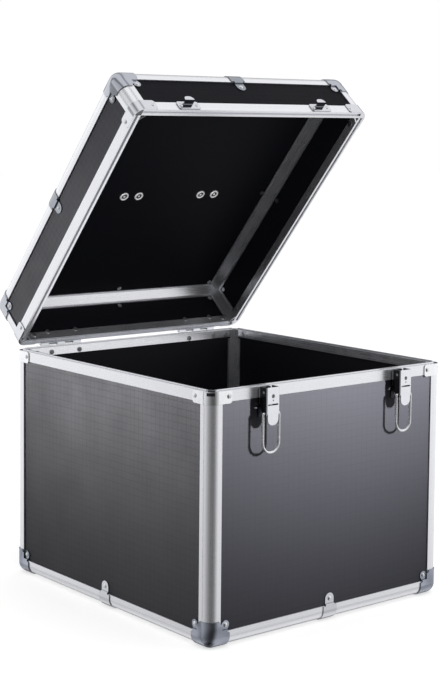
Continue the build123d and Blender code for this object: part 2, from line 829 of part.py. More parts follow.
# ---------------------------------------------------------------------------- handle
def handle_mount():
    """Plate riveted to the lid with two ears for the handle's pin; its middle is the origin, on the panel."""
    plate = along_z(RectangleRounded(mount_length, mount_width, mount_rounding), 0, mount_sheet)
    near = handle_eye_width / 2 + handle_side_gap
    half = handle_ear_radius
    ear = polygon((-half - 1, 0), (half + 1, 0), (half, handle_axis_rise), (-half, handle_axis_rise))
    ear = ear + Pos(0, handle_axis_rise) * Circle(handle_ear_radius)
    for low in (near, -near - ear_sheet):
        plate = plate + along_x(ear, low, low + ear_sheet)
    return plate - rod_x(handle_pin_radius, -far, far, 0, handle_axis_rise)


def handle_pin():
    half = handle_eye_width / 2 + handle_side_gap + ear_sheet
    pin = rod_x(handle_pin_radius, -half, half, 0, handle_axis_rise)
    for low in (-half - handle_pin_head, half):
        pin = pin + rod_x(handle_pin_head_radius, low, low + handle_pin_head, 0, handle_axis_rise)
    return pin


def handle_grip():
    """Grip folded back onto the lid: two arms with eyes and a rounded bar between them."""
    eye = Pos(0, handle_axis_rise) * Circle(arm_height / 2)
    arm = eye + polygon(
        (0, handle_axis_rise - arm_height / 2),
        (handle_reach, handle_axis_rise - arm_height / 2),
        (handle_reach, handle_axis_rise + arm_height / 2),
        (0, handle_axis_rise + arm_height / 2),
    )
    section = Pos(handle_reach, handle_axis_rise) * RectangleRounded(grip_width, grip_height, grip_rounding)
    half = mount_place + grip_overhang
    grip = along_x(section, -half, half)
    for x in (-mount_place, mount_place):
        grip = grip + along_x(arm, x - handle_eye_width / 2, x + handle_eye_width / 2)
    return grip - rod_x(handle_pin_radius + handle_fit, -far, far, 0, handle_axis_rise)


def at_mounts(piece):
    return [Pos(x, 0, top_panel_face) * piece for x in (-mount_place, mount_place)]


# ---------------------------------------------------------------------------- keys
def key():
    """Flat key lying on its side, its head towards the back."""
    half = key_head / 2
    blade = key_blade / 2
    neck = key_length - key_head_length - key_neck
    outline = polygon(
        (-half, key_length),
        (half, key_length),
        (half, key_length - key_head_length),
        (blade, neck),
        (blade, 0),
        (-blade + 1, 0),
        (-blade + 1, 1.2),
        (-blade - key_bit, 1.2),
        (-blade - key_bit, neck / 2),
        (-blade, neck / 2),
        (-blade, neck),
        (-half, key_length - key_head_length),
    )
    outline = outline - Pos(0, key_length - key_head_length / 4) * Circle(key_hole_radius)
    return along_z(outline, 0, key_sheet)


# ---------------------------------------------------------------------------- where the rivets go
def side_and_floor_rivets():
    """Ball corners and clips: the same places serve the base and, upside down, the lid's top."""
    cap_outer = panel_face - cap_sheet
    clip_outer = panel_face - clip_sheet
    sides, floors = [], []
    for side, (_, _, length) in SIDES.items():
        for along in (-length / 2 + cap_tab_place, length / 2 - cap_tab_place):
            sides.append((side, along, cap_tab_place, cap_outer))
        sides.append((side, 0, clip_rivet_place, clip_outer))
    x, y = half_width - cap_tab_place, rear - cap_tab_place
    floors += [(sx * x, sy * y, cap_outer) for sx in (-1, 1) for sy in (-1, 1)]
    x, y = half_width - clip_rivet_place, rear - clip_rivet_place
    floors += [(0, -y, clip_outer), (0, y, clip_outer), (-x, 0, clip_outer), (x, 0, clip_outer)]
    return sides, floors


def bracket_rivets(z):
    spots = []
    for side, (_, _, length) in SIDES.items():
        for along in (-length / 2 + bracket_rivet_place, length / 2 - bracket_rivet_place):
            spots.append(side_rivet(side, along, z, -bracket_sheet, inner_face))
    return spots


def hinge_rivets(z):
    """Two rivets in each hinge leaf."""
    places = [x + dx for x in (-hinge_place, hinge_place) for dx in (-hinge_rivet_place, hinge_rivet_place)]
    return [side_rivet("rear", along, z, -hinge_wall, inner_face) for along in places]


sides, floors = side_and_floor_rivets()
body_rivets = [side_rivet(side, along, z, outer) for side, along, z, outer in sides]
body_rivets += [floor_rivet(*spot) for spot in floors]
body_rivets += bracket_rivets(body_height - body_rivet_drop)
body_rivets += hinge_rivets(body_height - body_leaf_rivet_drop)
for x in (-latch_place, latch_place):
    body_rivets.append(side_rivet("front", x, pivot_z - base_upper_rivet, -base_sheet, inner_face))
    body_rivets.append(side_rivet("front", x, pivot_z - base_lower_rivet, panel_face - base_sheet))

lid_rivets = [side_rivet(side, along, lid_top - z, outer) for side, along, z, outer in sides]
lid_rivets += [top_rivet(*spot) for spot in floors]
lid_rivets += bracket_rivets(lid_base + lid_rivet_rise)
lid_rivets += hinge_rivets(hinge_z + lid_leaf_rise + lid_leaf_height / 2)
for x in (-latch_place, latch_place):
    for dx in (-keeper_rivet_place, keeper_rivet_place):
        lid_rivets.append(side_rivet("front", x + dx, lid_base + lid_rivet_rise, -keeper_sheet, inner_face))

handle_rivets = [
    top_rivet(x + dx, 0, panel_face - mount_sheet)
    for x in (-mount_place, mount_place)
    for dx in (-mount_rivet_place, mount_rivet_place)
]


# ---------------------------------------------------------------------------- nodes, with the lid shut
def drilled(pieces, rivets):
    return [drill(piece, rivets) for piece in pieces]


def body_nodes():
    nodes = {}
    wall_top = body_height - rim_web - panel_edge_gap
    for side, (_, _, length) in SIDES.items():
        half = length / 2 - panel_edge
        wall = block((-half, half), (panel_face, panel_back), (panel_edge, wall_top))
        nodes[f"{side}_panel"] = drilled([at_side(side, wall)], body_rivets)
        nodes[f"base_edge_{side}"] = drilled([at_side(side, edge_extrusion(length))], body_rivets)
        nodes[f"body_rim_{side}"] = drilled([at_side(side, body_rim(length))], body_rivets)
    x, y = half_width - panel_edge, rear - panel_edge
    nodes["bottom_panel"] = drilled([block((-x, x), (-y, y), (panel_face, panel_back))], body_rivets)

    upright = upright_extrusion(body_height - rim_face, body_height - insert_gap)
    for corner, piece in zip(CORNERS, four_corners(at_corner(upright))):
        nodes[f"upright_{corner}"] = [piece]
    nodes["base_ball_corners"] = drilled(four_corners(at_corner(ball_corner())), body_rivets)
    nodes["base_edge_clips"] = drilled([at_side(side, edge_clip()) for side in SIDES], body_rivets)
    bracket = rim_bracket(body_height - rim_face - bracket_drop, body_height) - bracket_window()
    nodes["body_rim_brackets"] = drilled(four_corners(at_corner(bracket)), body_rivets)
    nodes["body_corner_inserts"] = four_corners(at_corner(corner_insert(body_height - rim_face, body_height)))
    nodes["body_rivets"] = [rivet_solid(spec) for spec in body_rivets]
    nodes["body_hinge_leaves"] = drilled(at_hinges(body_leaf()), body_rivets)
    nodes["hinge_pins"] = at_hinges(hinge_pin())
    nodes["latch_pins"] = at_latches(latch_pin())
    return nodes


def lid_nodes():
    nodes = {}
    rivets = lid_rivets + handle_rivets
    wall_low = lid_base + lid_rim_web + panel_edge_gap
    for side, (_, _, length) in SIDES.items():
        half = length / 2 - panel_edge
        wall = block((-half, half), (panel_face, panel_back), (wall_low, lid_top - panel_edge))
        nodes[f"lid_{side}_panel"] = drilled([at_side(side, wall)], rivets)
        edge = under_lid_top(at_side(side, edge_extrusion(length)))
        nodes[f"lid_edge_{side}"] = drilled([edge], rivets)
        rim = rim_bar(lid_rim_section(), length, lid_base)
        nodes[f"lid_rim_{side}"] = drilled([at_side(side, rim)], rivets)
    x, y = half_width - panel_edge, rear - panel_edge
    top = block((-x, x), (-y, y), (lid_top - panel_back, top_panel_face))
    nodes["lid_top_panel"] = drilled([top], rivets)

    upright = upright_extrusion(lid_height - lid_rim_face, lid_height - insert_gap)
    nodes["lid_uprights"] = four_corners(under_lid_top(at_corner(upright)))
    nodes["lid_ball_corners"] = drilled(four_corners(under_lid_top(at_corner(ball_corner()))), rivets)
    nodes["lid_edge_clips"] = drilled([under_lid_top(at_side(side, edge_clip())) for side in SIDES], rivets)
    bracket = rim_bracket(lid_base, lid_base + lid_rim_face + bracket_drop)
    nodes["lid_rim_brackets"] = drilled(four_corners(at_corner(bracket)), rivets)
    nodes["lid_corner_inserts"] = four_corners(at_corner(corner_insert(lid_base, lid_base + lid_rim_face)))
    nodes["lid_rivets"] = [rivet_solid(spec) for spec in lid_rivets]
    nodes["lid_hinge_leaves"] = drilled(at_hinges(lid_leaf()), rivets)
    nodes["latch_keepers"] = drilled(at_latches(keeper()), rivets)
    nodes["handle_mounts"] = drilled(at_mounts(handle_mount()), rivets)
    nodes["handle_pins"] = at_mounts(handle_pin())
    nodes["handle_rivets"] = [rivet_solid(spec, cupped=True) for spec in handle_rivets]
    nodes["handle_grip"] = [Pos(0, 0, top_panel_face) * handle_grip()]
    return nodes


def latch_nodes():
    nodes = {}
    makers = {"base": latch_base, "lever": latch_lever, "bail": latch_bail, "lock": latch_lock}
    for part, make in makers.items():
        for side, piece in zip(("left", "right"), at_latches(make())):
            nodes[f"{side}_latch_{part}"] = drilled([piece], body_rivets) if part == "base" else [piece]
    return nodes


def key_nodes():
    level = panel_back + key_lift
    y = front + key_from_front
    return {
        "key_one": [Pos(-key_place, y, level) * key()],
        "key_two": [Pos(key_place, y, level) * key()],
    }


# ---------------------------------------------------------------------------- the part's own frame
def open_lid(piece):
    return piece.rotate(Axis((0, hinge_y, hinge_z), (1, 0, 0)), -lid_angle)


def part_frame():
    """Shift that puts the origin on the floor, under the middle of the open case's bounds."""
    cos, sin = math.cos(math.radians(lid_angle)), math.sin(math.radians(lid_angle))
    dy = rear - corner_radius - hinge_y
    dz = lid_top - corner_radius - hinge_z
    back_reach = hinge_y + dy * cos + dz * sin + corner_radius + cap_sheet
    front_reach = front - lever_out
    return Pos(0, -(front_reach + back_reach) / 2, cap_sheet)


def write(name, pieces, shift):
    solids = [solid for piece in pieces for solid in (shift * piece).solids()]
    shape = solids[0] if len(solids) == 1 else Compound(children=solids)
    shape.label = name
    export_step(shape, f"parts/{name}.step")


os.makedirs("parts", exist_ok=True)
shift = part_frame()
for name, pieces in {**body_nodes(), **latch_nodes(), **key_nodes()}.items():
    write(name, pieces, shift)
for name, pieces in lid_nodes().items():
    write(name, [open_lid(piece) for piece in pieces], shift)
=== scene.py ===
# %% [markdown]
# # A record carrying case
# This lesson dresses a metal-edged carrying case. Its boards, edge extrusions, corner fittings, latches and
# hinges come from CAD as named parts, each already in its place. What is left for Blender is how each surface
# looks: the pressed pattern in the black boards, the drawn lines in the aluminium, the bright plating on the
# steel, and the light. The first cell loads the parts, and a small function reads the box around any one of
# them.

# %% Load the case
import json
import math

import bpy
import numpy as np
from mathutils import Matrix, Vector


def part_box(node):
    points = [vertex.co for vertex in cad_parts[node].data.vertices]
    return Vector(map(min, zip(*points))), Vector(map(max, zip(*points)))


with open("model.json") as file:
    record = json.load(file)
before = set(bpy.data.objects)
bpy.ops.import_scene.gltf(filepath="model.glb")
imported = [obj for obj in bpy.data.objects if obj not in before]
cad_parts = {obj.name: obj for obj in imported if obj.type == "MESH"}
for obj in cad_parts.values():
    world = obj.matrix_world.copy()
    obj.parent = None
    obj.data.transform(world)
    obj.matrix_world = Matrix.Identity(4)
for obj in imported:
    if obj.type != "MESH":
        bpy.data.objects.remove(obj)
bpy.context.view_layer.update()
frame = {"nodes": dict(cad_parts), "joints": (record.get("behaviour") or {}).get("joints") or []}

nodes = frame["nodes"]

# %% [markdown]
# ## Colours
# A colour picked on a screen is an sRGB hex value, but Blender reckons light in linear values. One function
# turns the first into the second, so every colour below can be written the way a colour picker shows it.


# %% From picked colours to linear ones
def linear(hex_colour):
    """sRGB hex to linear RGBA: c / 12.92 for a channel c up to 0.04045, else ((c + 0.055) / 1.055) ** 2.4."""
    c = np.array([int(hex_colour[i : i + 2], 16) for i in (1, 3, 5)]) / 255
    rgb = np.where(c <= 0.04045, c / 12.92, ((c + 0.055) / 1.055) ** 2.4)
    return (*(float(v) for v in rgb), 1.0)


WHITE, BLACK = linear("#ffffff"), linear("#000000")
print("board black in linear light:", [round(v, 4) for v in linear("#17181c")])

# %% [markdown]
# ## Nodes
# Materials are trees of small nodes. Adding one always takes the same three steps: make it, set its options,
# and fill or link its inputs. One function does all three, for any kind of node. Most nodes take their inputs
# in order, like a Math node's two numbers. Where a node has many, a dictionary names the ones that are
# wanted.


# %% Add a node, start a material, end it
def add(tree, kind, inputs=(), **options):
    """Adds one node to a tree. Options are its settings. Inputs are values or other nodes' outputs, in order
    or by name. A node given as an input stands for its first output."""
    made = tree.nodes.new("ShaderNode" + kind)
    for option, value in options.items():
        setattr(made, option, value)
    for socket, value in inputs.items() if isinstance(inputs, dict) else enumerate(inputs):
        if isinstance(value, bpy.types.Node):
            value = value.outputs[0]
        if isinstance(value, bpy.types.NodeSocket):
            tree.links.new(value, made.inputs[socket])
        else:
            made.inputs[socket].default_value = value
    return made


def new_material(name):
    """An empty material and its tree, ready to be filled."""
    made = bpy.data.materials.new(name)
    made.use_nodes = True
    made.node_tree.nodes.clear()
    return made, made.node_tree


def surface(tree, **inputs):
    """Ends a material with the Principled shader. Underscores in the inputs' names stand for spaces."""
    shader = add(tree, "BsdfPrincipled", {k.replace("_", " "): v for k, v in inputs.items()})
    add(tree, "OutputMaterial", {"Surface": shader})


print("helpers:", add.__name__, new_material.__name__, surface.__name__)

# %% [markdown]
# ## Where a pattern sits
# The lid stands open, so its boards are tilted with it. A pattern that should run along a tilted board is
# easiest to draw in the lid's own directions. Object coordinates are in metres in the whole case's frame, so
# they are turned back about the hinge's axis by the lid's opening angle, and from there a board of the lid
# reads like a board of the body.

# %% The lid's opening angle
MM = 0.001
hinge = next(j for j in frame["joints"] if j["name"] == "lid_hinge")
LID_TILT = math.radians(abs(hinge["range_deg"][0]))
print("lid stands open by", round(math.degrees(LID_TILT), 1), "degrees")


# %% Coordinates along the case's edges
def along_edges(tree, tilt, kind="Object"):
    """Object coordinates, or the Normal, turned back about X by the tilt: then they lie along the edges."""
    source = add(tree, "TexCoord").outputs[kind]
    return add(tree, "VectorRotate", {"Vector": source, "Angle": tilt}, rotation_type="X_AXIS")


def shut(points):
    """Points of the opened lid, one a row, turned back about X by the opening angle: y becomes c y - s z, and
    z becomes s y + c z, for its cosine c and sine s."""
    c, s = math.cos(LID_TILT), math.sin(LID_TILT)
    x, y, z = np.asarray(points).T
    return np.stack([x, c * y - s * z, s * y + c * z], -1)


def lid_points(name):
    """A lid part's vertices, as if the lid were shut."""
    mesh = nodes[name].data
    flat = np.empty(len(mesh.vertices) * 3)
    mesh.vertices.foreach_get("co", flat)
    return shut(flat.reshape(-1, 3))


print("lid's top is", round(lid_points("lid_top_panel")[:, 2].max(), 4), "m high when shut")


# %% The middles of body and lid
def middle_of(*names):
    """Middle of the box around some parts."""
    low, high = zip(*(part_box(n) for n in names))
    return tuple((min(a) + max(b)) / 2 for a, b in zip(zip(*low), zip(*high)))


body_middle = middle_of("left_panel", "right_panel", "front_panel", "rear_panel", "bottom_panel")
lid_middle = tuple(shut([middle_of("lid_left_panel", "lid_right_panel")])[0])
print("middles of body and lid:", [[round(v, 3) for v in m] for m in (body_middle, lid_middle)])

# %% [markdown]
# ## Painted shade in seams
# Where two pieces meet, and at the bottom of a narrow recess, little light gets in. That shade is painted
# into the colour of bright metal as a dark line, which tells one piece from the next. The Ambient Occlusion
# node finds such places by looking for other surfaces nearby, so the painted shade follows every joint of the
# case without being placed one by one.


# %% Painted shade in seams
SHEET_SEAM = 2 * MM  # reach of the painted seam shade along pressed sheet, about twice the sheet's thickness
EXTRUSION_SEAM = 1.5 * MM  # reach of the painted seam shade along extrusions, whose joints are closer
IN_SEAM, IN_OPEN = 0.3, 0.8  # shares of the directions that are free, deep in a seam and on an open surface


def seam_shade(tree, reach, darkest):
    """Painted shade: 1 on an open surface, falling to darkest where other surfaces stand close, within reach.
    """
    hollow = add(tree, "AmbientOcclusion", {"Distance": reach}, samples=8)
    return add(tree, "MapRange", (hollow.outputs["AO"], IN_SEAM, IN_OPEN, darkest, 1.0))


print("seams reach", round(SHEET_SEAM / MM, 1), "and", round(EXTRUSION_SEAM / MM, 1), "mm")

# %% [markdown]
# ## Black laminate board
# The boards are 6 mm board faced with black ABS laminate. The outer sheet was pressed hot against a plate,
# which left a lattice of small squares, 8 mm apart, and a slightly dull gloss. The inner sheet is smooth and
# duller. The lattice could be cut into the mesh, but its grooves are shallower than a hair is thick, so a
# bump is enough. A brick texture with no offset draws it, because its mortar lines are the pressed grooves.
# The texture is flat, so it needs two of the three coordinates: the pair across the board, chosen by the
# normal. The same normal also tells the outer face from the inner one: outside, it points away from the
# case's middle.

# %% The laminate's measures
SQUARE = 8 * MM  # from groove to groove
GROOVE = 0.6 * MM  # half the width of a groove
PRESSED = 0.2 * MM  # depth of the pressing at a bump's full strength
GRAIN_DENSITY = 1600.0  # leather-like grains a metre: one every 0.6 mm
WORN_PATCHES = 14.0  # patches a metre that handling leaves duller: one to a hand's width
FACING_AXIS = 0.7  # a board faces an axis where that part of its normal is more than this
INNER_FACE = 0.8  # the smooth inner face's height, where a groove is 0 and a square 1
INNER_ROUGHNESS = 0.6
OUTER_ROUGHNESS = (0.5, 0.56)  # on a square, fresh and worn
GROOVE_ROUGHNESS = 0.07  # how much duller a groove is
GRAIN_SHARE = 0.25  # height of the grain, where the lattice's is 1
MOST_NOISE = (0.3, 0.7)  # a noise runs from 0 to 1, but nearly all of it lies between these
print("lattice", SQUARE / MM, "mm, grain", round(1 / GRAIN_DENSITY / MM, 2), "mm")


# %% The pressed lattice
def across_board(tree, place, normal):
    """The two coordinates across a board as a flat vector: (y, z) on a side, (x, y) on a top, else (x, z)."""
    axis = add(tree, "SeparateXYZ", [add(tree, "VectorMath", [normal], operation="ABSOLUTE")])
    xyz = add(tree, "SeparateXYZ", [place])
    side = add(tree, "Math", (axis.outputs["X"], FACING_AXIS), operation="GREATER_THAN")
    flat = add(tree, "Math", (axis.outputs["Z"], FACING_AXIS), operation="GREATER_THAN")
    u = add(tree, "Mix", {0: side, 2: xyz.outputs["X"], 3: xyz.outputs["Y"]})
    v = add(tree, "Mix", {0: flat, 2: xyz.outputs["Z"], 3: xyz.outputs["Y"]})
    return add(tree, "CombineXYZ", (u, v))


def pressed_lattice(tree, uv):
    """The brick texture as a lattice of squares: 0 in the grooves, and 1 or 0.8 by turns on the squares."""
    return add(
        tree, "TexBrick",
        {"Vector": uv, "Color1": WHITE, "Color2": (0.8, 0.8, 0.8, 1), "Mortar": BLACK, "Scale": 1.0,
         "Mortar Size": GROOVE, "Mortar Smooth": 1.0, "Brick Width": SQUARE, "Row Height": SQUARE},
        offset=0.0, squash=1.0,
    )


print("lattice between heights 0 and 1, and", INNER_FACE, "inside")


# %% Laminate
def laminate(name, tilt, middle, sheen):
    """ABS laminate, pressed in squares outside, smooth inside. Dull gloss with the lattice in its shine."""
    made, tree = new_material(name)
    place, normal = along_edges(tree, tilt), along_edges(tree, tilt, "Normal")
    outward = add(tree, "VectorMath", (place, middle), operation="SUBTRACT")
    facing = add(tree, "VectorMath", (outward, normal), operation="DOT_PRODUCT")
    outside = add(tree, "Math", (facing.outputs["Value"], 0.0), operation="GREATER_THAN")
    lattice = pressed_lattice(tree, across_board(tree, place, normal))
    pressed = add(tree, "Mix", {0: outside, 2: INNER_FACE, 3: lattice.outputs["Color"]})
    grain = add(tree, "TexNoise", {"Vector": place, "Scale": GRAIN_DENSITY, "Detail": 3.0, "Roughness": 0.6})
    height = add(tree, "Math", (grain.outputs["Fac"], GRAIN_SHARE, pressed), operation="MULTIPLY_ADD")
    bump = add(tree, "Bump", {"Height": height, "Strength": 0.1, "Distance": PRESSED})
    worn = add(tree, "TexNoise", {"Vector": place, "Scale": WORN_PATCHES, "Detail": 4.0, "Roughness": 0.65})
    outer = add(tree, "MapRange", (worn.outputs["Fac"], *MOST_NOISE, *OUTER_ROUGHNESS))
    outer = add(tree, "Math", (lattice.outputs["Fac"], GROOVE_ROUGHNESS, outer), operation="MULTIPLY_ADD")
    rough = add(tree, "Mix", {0: outside, 2: INNER_ROUGHNESS, 3: outer})
    tones = {0: pressed, "A": linear("#17181c"), "B": linear("#1b1c22")}
    colour = add(tree, "Mix", tones, data_type="RGBA").outputs["Result"]
    surface(tree, Base_Color=colour, Roughness=rough, Specular_IOR_Level=sheen, Normal=bump,
            Specular_Tint=(0.92, 0.91, 1.0, 1.0))
    return made


board = {
    "body": laminate("abs_laminate_pressed_squares_body", 0.0, body_middle, 0.3),
    "lid": laminate("abs_laminate_pressed_squares_lid", LID_TILT, lid_middle, 0.08),
    "lid_front": laminate("abs_laminate_pressed_squares_lid_front", LID_TILT, lid_middle, 0.06),
}
print("boards:", *(m.name for m in board.values()))

# %% [markdown]
# ## Anodised aluminium
# The edges are extrusions: aluminium pushed through a die, which draws faint lines along the whole length,
# then anodised to a satin silver. The clear film that anodising grows scatters a little of the light, so the
# metal never gets quite black, even where it mirrors something dark. That is what a metallic value just under
# 1 does. The lines are noise stretched along the run, fine across it, and they go into the roughness and a
# very small bump. Each run needs its own direction, so there is one material for each of the case's three
# directions, on the body and on the lid.

# %% The extrusions' measures
MIRRORED = 0.86  # share of the light that is mirrored, where the rest is scattered in the anodised film
DIE_LINES = 2400.0  # lines a metre across a run: one every 0.4 mm
DIE_STREAKS = 3.0  # lines a metre along a run: each keeps on for about 0.3 m
FILM_CLOUDS = 30.0  # faint clouds a metre in the film: one every 33 mm
CLOUD_SHARE = 0.35  # how much the clouds add to the lines
LINE_DEPTH = 0.03 * MM
MOST_LINES = (0.35, 1.0)  # nearly all of lines and clouds together lies between these
SATIN = (0.22, 0.36)  # roughness of the smoothest line and of the dullest
print("die lines", round(1 / DIE_LINES / MM, 2), "mm apart")


# %% Aluminium
def aluminium(name, along, tilt):
    """Anodised extrusion along one axis. Satin silver whose highlight breaks into lines along the run."""
    made, tree = new_material(name)
    place = along_edges(tree, tilt)
    stretch = [DIE_STREAKS if axis == along else DIE_LINES for axis in "xyz"]
    run = add(tree, "Mapping", {"Vector": place, "Scale": stretch})
    drawn = add(tree, "TexNoise", {"Vector": run, "Scale": 1.0, "Detail": 4.0, "Roughness": 0.7})
    lines = drawn.outputs["Fac"]
    cloud = add(tree, "TexNoise", {"Vector": place, "Scale": FILM_CLOUDS, "Detail": 3.0, "Roughness": 0.5})
    mixed = add(tree, "Math", (cloud.outputs["Fac"], CLOUD_SHARE, lines), operation="MULTIPLY_ADD")
    rough = add(tree, "MapRange", (mixed, *MOST_LINES, *SATIN))
    bump = add(tree, "Bump", {"Height": lines, "Strength": 0.12, "Distance": LINE_DEPTH})
    tones = {0: lines, "A": linear("#eaebf0"), "B": linear("#f8f9fd")}
    tone = add(tree, "Mix", tones, data_type="RGBA").outputs["Result"]
    # painted shade: the aluminium's colour darkens to 0.3 in seams and recesses
    painted_seam_shade = seam_shade(tree, EXTRUSION_SEAM, 0.3)
    colour = add(tree, "VectorMath", {0: tone, "Scale": painted_seam_shade}, operation="SCALE")
    surface(tree, Base_Color=colour, Metallic=MIRRORED, Roughness=rough, Normal=bump)
    return made


extrusion = {
    (where, along): aluminium(f"anodised_aluminium_{where}_{along}", along, tilt)
    for where, tilt in (("body", 0.0), ("lid", LID_TILT))
    for along in "xyz"
}
print(len(extrusion), "aluminium finishes")

# %% [markdown]
# ## Bright plated steel
# The ball corners, brackets, clips, latches and bails are pressed from thin steel and plated: smooth, very
# bright and a little blue. Pressing leaves the sheet faintly wavy, and handling leaves fine marks, which show
# as soft variations in how sharp a reflection is. The corners are drawn deep, which also swells them a little
# between their bends. One function makes all of these, because they differ only in tone, polish and how far
# the sheet was drawn.

# %% Handling marks and pressed waves
MARK_DENSITY = 160.0  # coarsest handling marks a metre: one every 6 mm
MOST_MARKS = (0.3, 0.75)  # nearly all of the marks' noise lies between these
WAVE_DENSITY = 90.0  # waves a metre in pressed sheet: one every 11 mm
WAVE_HEIGHT = 0.4 * MM
SWELL_DENSITY = 34.0  # swellings a metre in deep-drawn sheet: one every 29 mm
SWELL_HEIGHT = 6.0 * MM


def handled(tree, place, polished, marked):
    """Roughness of a handled surface, from polished to marked, by a noise of fine marks."""
    marks = add(tree, "TexNoise", {"Vector": place, "Scale": MARK_DENSITY, "Detail": 6.0, "Roughness": 0.7})
    return add(tree, "MapRange", (marks.outputs["Fac"], *MOST_MARKS, polished, marked))


def waves(tree, place, **under):
    """Bump of a pressed sheet: long shallow waves, on the normal underneath if there is one."""
    sheet = add(tree, "TexNoise", {"Vector": place, "Scale": WAVE_DENSITY, "Detail": 1.0, "Roughness": 0.4})
    shallow = {"Height": sheet.outputs["Fac"], "Strength": 0.05, "Distance": WAVE_HEIGHT}
    return add(tree, "Bump", {**shallow, **under})


print("marks", round(1 / MARK_DENSITY / MM, 1), "mm, waves", round(1 / WAVE_DENSITY / MM, 1), "mm apart")


# %% Plated steel
def plated(name, tone, polished, marked, dome=0.0, darkest=0.25):
    """Plated pressed steel. A mirror softened by handling, on a faintly wavy sheet, domed by deep drawing.
    Painted shade in seams goes down to darkest. At 1 the metal is one tone, as on a thin wire, which has no
    seams to show."""
    made, tree = new_material(name)
    place = add(tree, "TexCoord").outputs["Object"]
    rough = handled(tree, place, polished, marked)
    swell = add(tree, "TexNoise", {"Vector": place, "Scale": SWELL_DENSITY, "Detail": 0.0})
    domed = add(tree, "Bump", {"Height": swell.outputs["Fac"], "Strength": dome, "Distance": SWELL_HEIGHT})
    bump = waves(tree, place, Normal=domed)
    colour = linear(tone)
    if darkest < 1:
        # painted shade: the plating's colour darkens in seams and recesses
        painted_seam_shade = seam_shade(tree, SHEET_SEAM, darkest)
        colour = add(tree, "VectorMath", {0: colour[:3], "Scale": painted_seam_shade}, operation="SCALE")
    surface(tree, Base_Color=colour, Metallic=1.0, Roughness=rough, Normal=bump)
    return made


chrome = plated("chromed_pressed_steel", "#d6d8de", 0.08, 0.2)
drawn_steel = plated("chromed_deep_drawn_steel", "#b6b9c2", 0.06, 0.16, dome=0.8)
# The base's corners are the lid's pressing with a darker tone, which is painted shade; their rougher finish
# is real scuffing.
scuffed_shaded_steel = plated("chromed_deep_drawn_steel_scuffed_shaded", "#9ea3b0", 0.14, 0.3, dome=0.8)
clip_steel = plated("chromed_clip_steel", "#989ca4", 0.1, 0.24, dome=0.4)
bracket_steel = plated("nickel_plated_bracket_steel", "#f0f1f4", 0.18, 0.3)
wire = plated("chromed_steel_wire", "#f0f1f4", 0.2, 0.32, darkest=1.0)
zinc = plated("zinc_plated_rivet_steel", "#e4e5e8", 0.26, 0.4)
key_metal = plated("nickel_plated_key_steel", "#e2e1dd", 0.14, 0.28)
lock_metal = plated("nickel_plated_lock", "#77787b", 0.2, 0.35)
# The latch bases sit in the levers' shadow, so their dark tone is painted shade.
dark_as_shade_plate = plated("latch_base_steel_dark_as_shade", "#3c3d41", 0.18, 0.32)
print("pressings:", chrome.name, drawn_steel.name, scuffed_shaded_steel.name, clip_steel.name, bracket_steel.name)

# %% [markdown]
# ## The latches' covers
# A latch's lever is folded from plated steel. Its two sides stand in shadow and are painted near black as
# shade, apart from the sheet's own edge at the back. Paint like this could be a second slot on the part, but
# the part comes with one, so the material finds the sides by itself: they are where the normal points along
# x, in front of the back edge.


# %% Lever covers
SHEET_EDGE = 1.3 * MM  # depth of the plated back edge
TURNED_ASIDE = 0.9  # a face is a side where x makes up more than this of its normal


def lever_cover(name, back):
    """The latch's cover: plated in front, and painted near black as shade on the two sides up to their edges,
    y = back.
    """
    made, tree = new_material(name)
    coordinates = add(tree, "TexCoord")
    place = coordinates.outputs["Object"]
    turned = add(tree, "SeparateXYZ", [coordinates.outputs["Normal"]])
    sideways = add(tree, "Math", [turned.outputs["X"]], operation="ABSOLUTE")
    on_side = add(tree, "Math", (sideways, TURNED_ASIDE), operation="GREATER_THAN")
    depth = add(tree, "SeparateXYZ", [place]).outputs["Y"]
    in_front = add(tree, "Math", (depth, back), operation="LESS_THAN")
    # painted shade: the sides in front of the back edge become near black and lose their metal
    painted_side_shade = add(tree, "Math", (on_side, in_front), operation="MULTIPLY")
    tones = {0: painted_side_shade, "A": linear("#dcdee3"), "B": linear("#0c0c0e")}
    colour = add(tree, "Mix", tones, data_type="RGBA").outputs["Result"]
    outside_side_shade = add(tree, "Math", (1.0, painted_side_shade), operation="SUBTRACT")
    rough, bump = handled(tree, place, 0.1, 0.22), waves(tree, place)
    surface(tree, Base_Color=colour, Metallic=outside_side_shade, Roughness=rough, Normal=bump)
    return made


lever_back = max(corner[1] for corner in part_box("left_latch_lever"))
cover = lever_cover("chromed_lever_cover", lever_back - SHEET_EDGE)
print("cover's back edge at y =", round(lever_back, 4))

# %% [markdown]
# ## Cup washers inside the lid
# The carry handle's four rivets end inside the lid, each in a small zinc cup. What the eye gets is a bright
# ring, a dark groove and a bright rivet head. The groove is so narrow that no light finds its bottom, so the
# material paints that shade into the colour by the distance from the rivet's axis.
# The rivets stand in one row, two pairs of them. Folding x about the case's middle, and then about a pair's
# middle, lays all four axes on one, and a single distance serves them all.


# %% The rivets' axes
rivet_points = lid_points("handle_rivets")
rivet_row = (rivet_points[:, 1].min() + rivet_points[:, 1].max()) / 2
from_middle = np.sort(np.abs(rivet_points[:, 0]))
widest_gap = np.argmax(np.diff(from_middle))
near_axis = (from_middle[0] + from_middle[widest_gap]) / 2
far_axis = (from_middle[widest_gap + 1] + from_middle[-1]) / 2
print("rivets at x = +-", round(near_axis, 4), round(far_axis, 4), "y =", round(rivet_row, 4))

# %% Cup washers
RING_FROM, RING_FULL = 3.4 * MM, 4.0 * MM  # radii where the bright ring starts, and where it is full
HEAD_FULL, HEAD_ENDS = 1.3 * MM, 1.9 * MM  # radii where the rivet head is still bright, and where it ends
GROOVE_SHADE = 0.02  # brightness left in the groove's painted shade


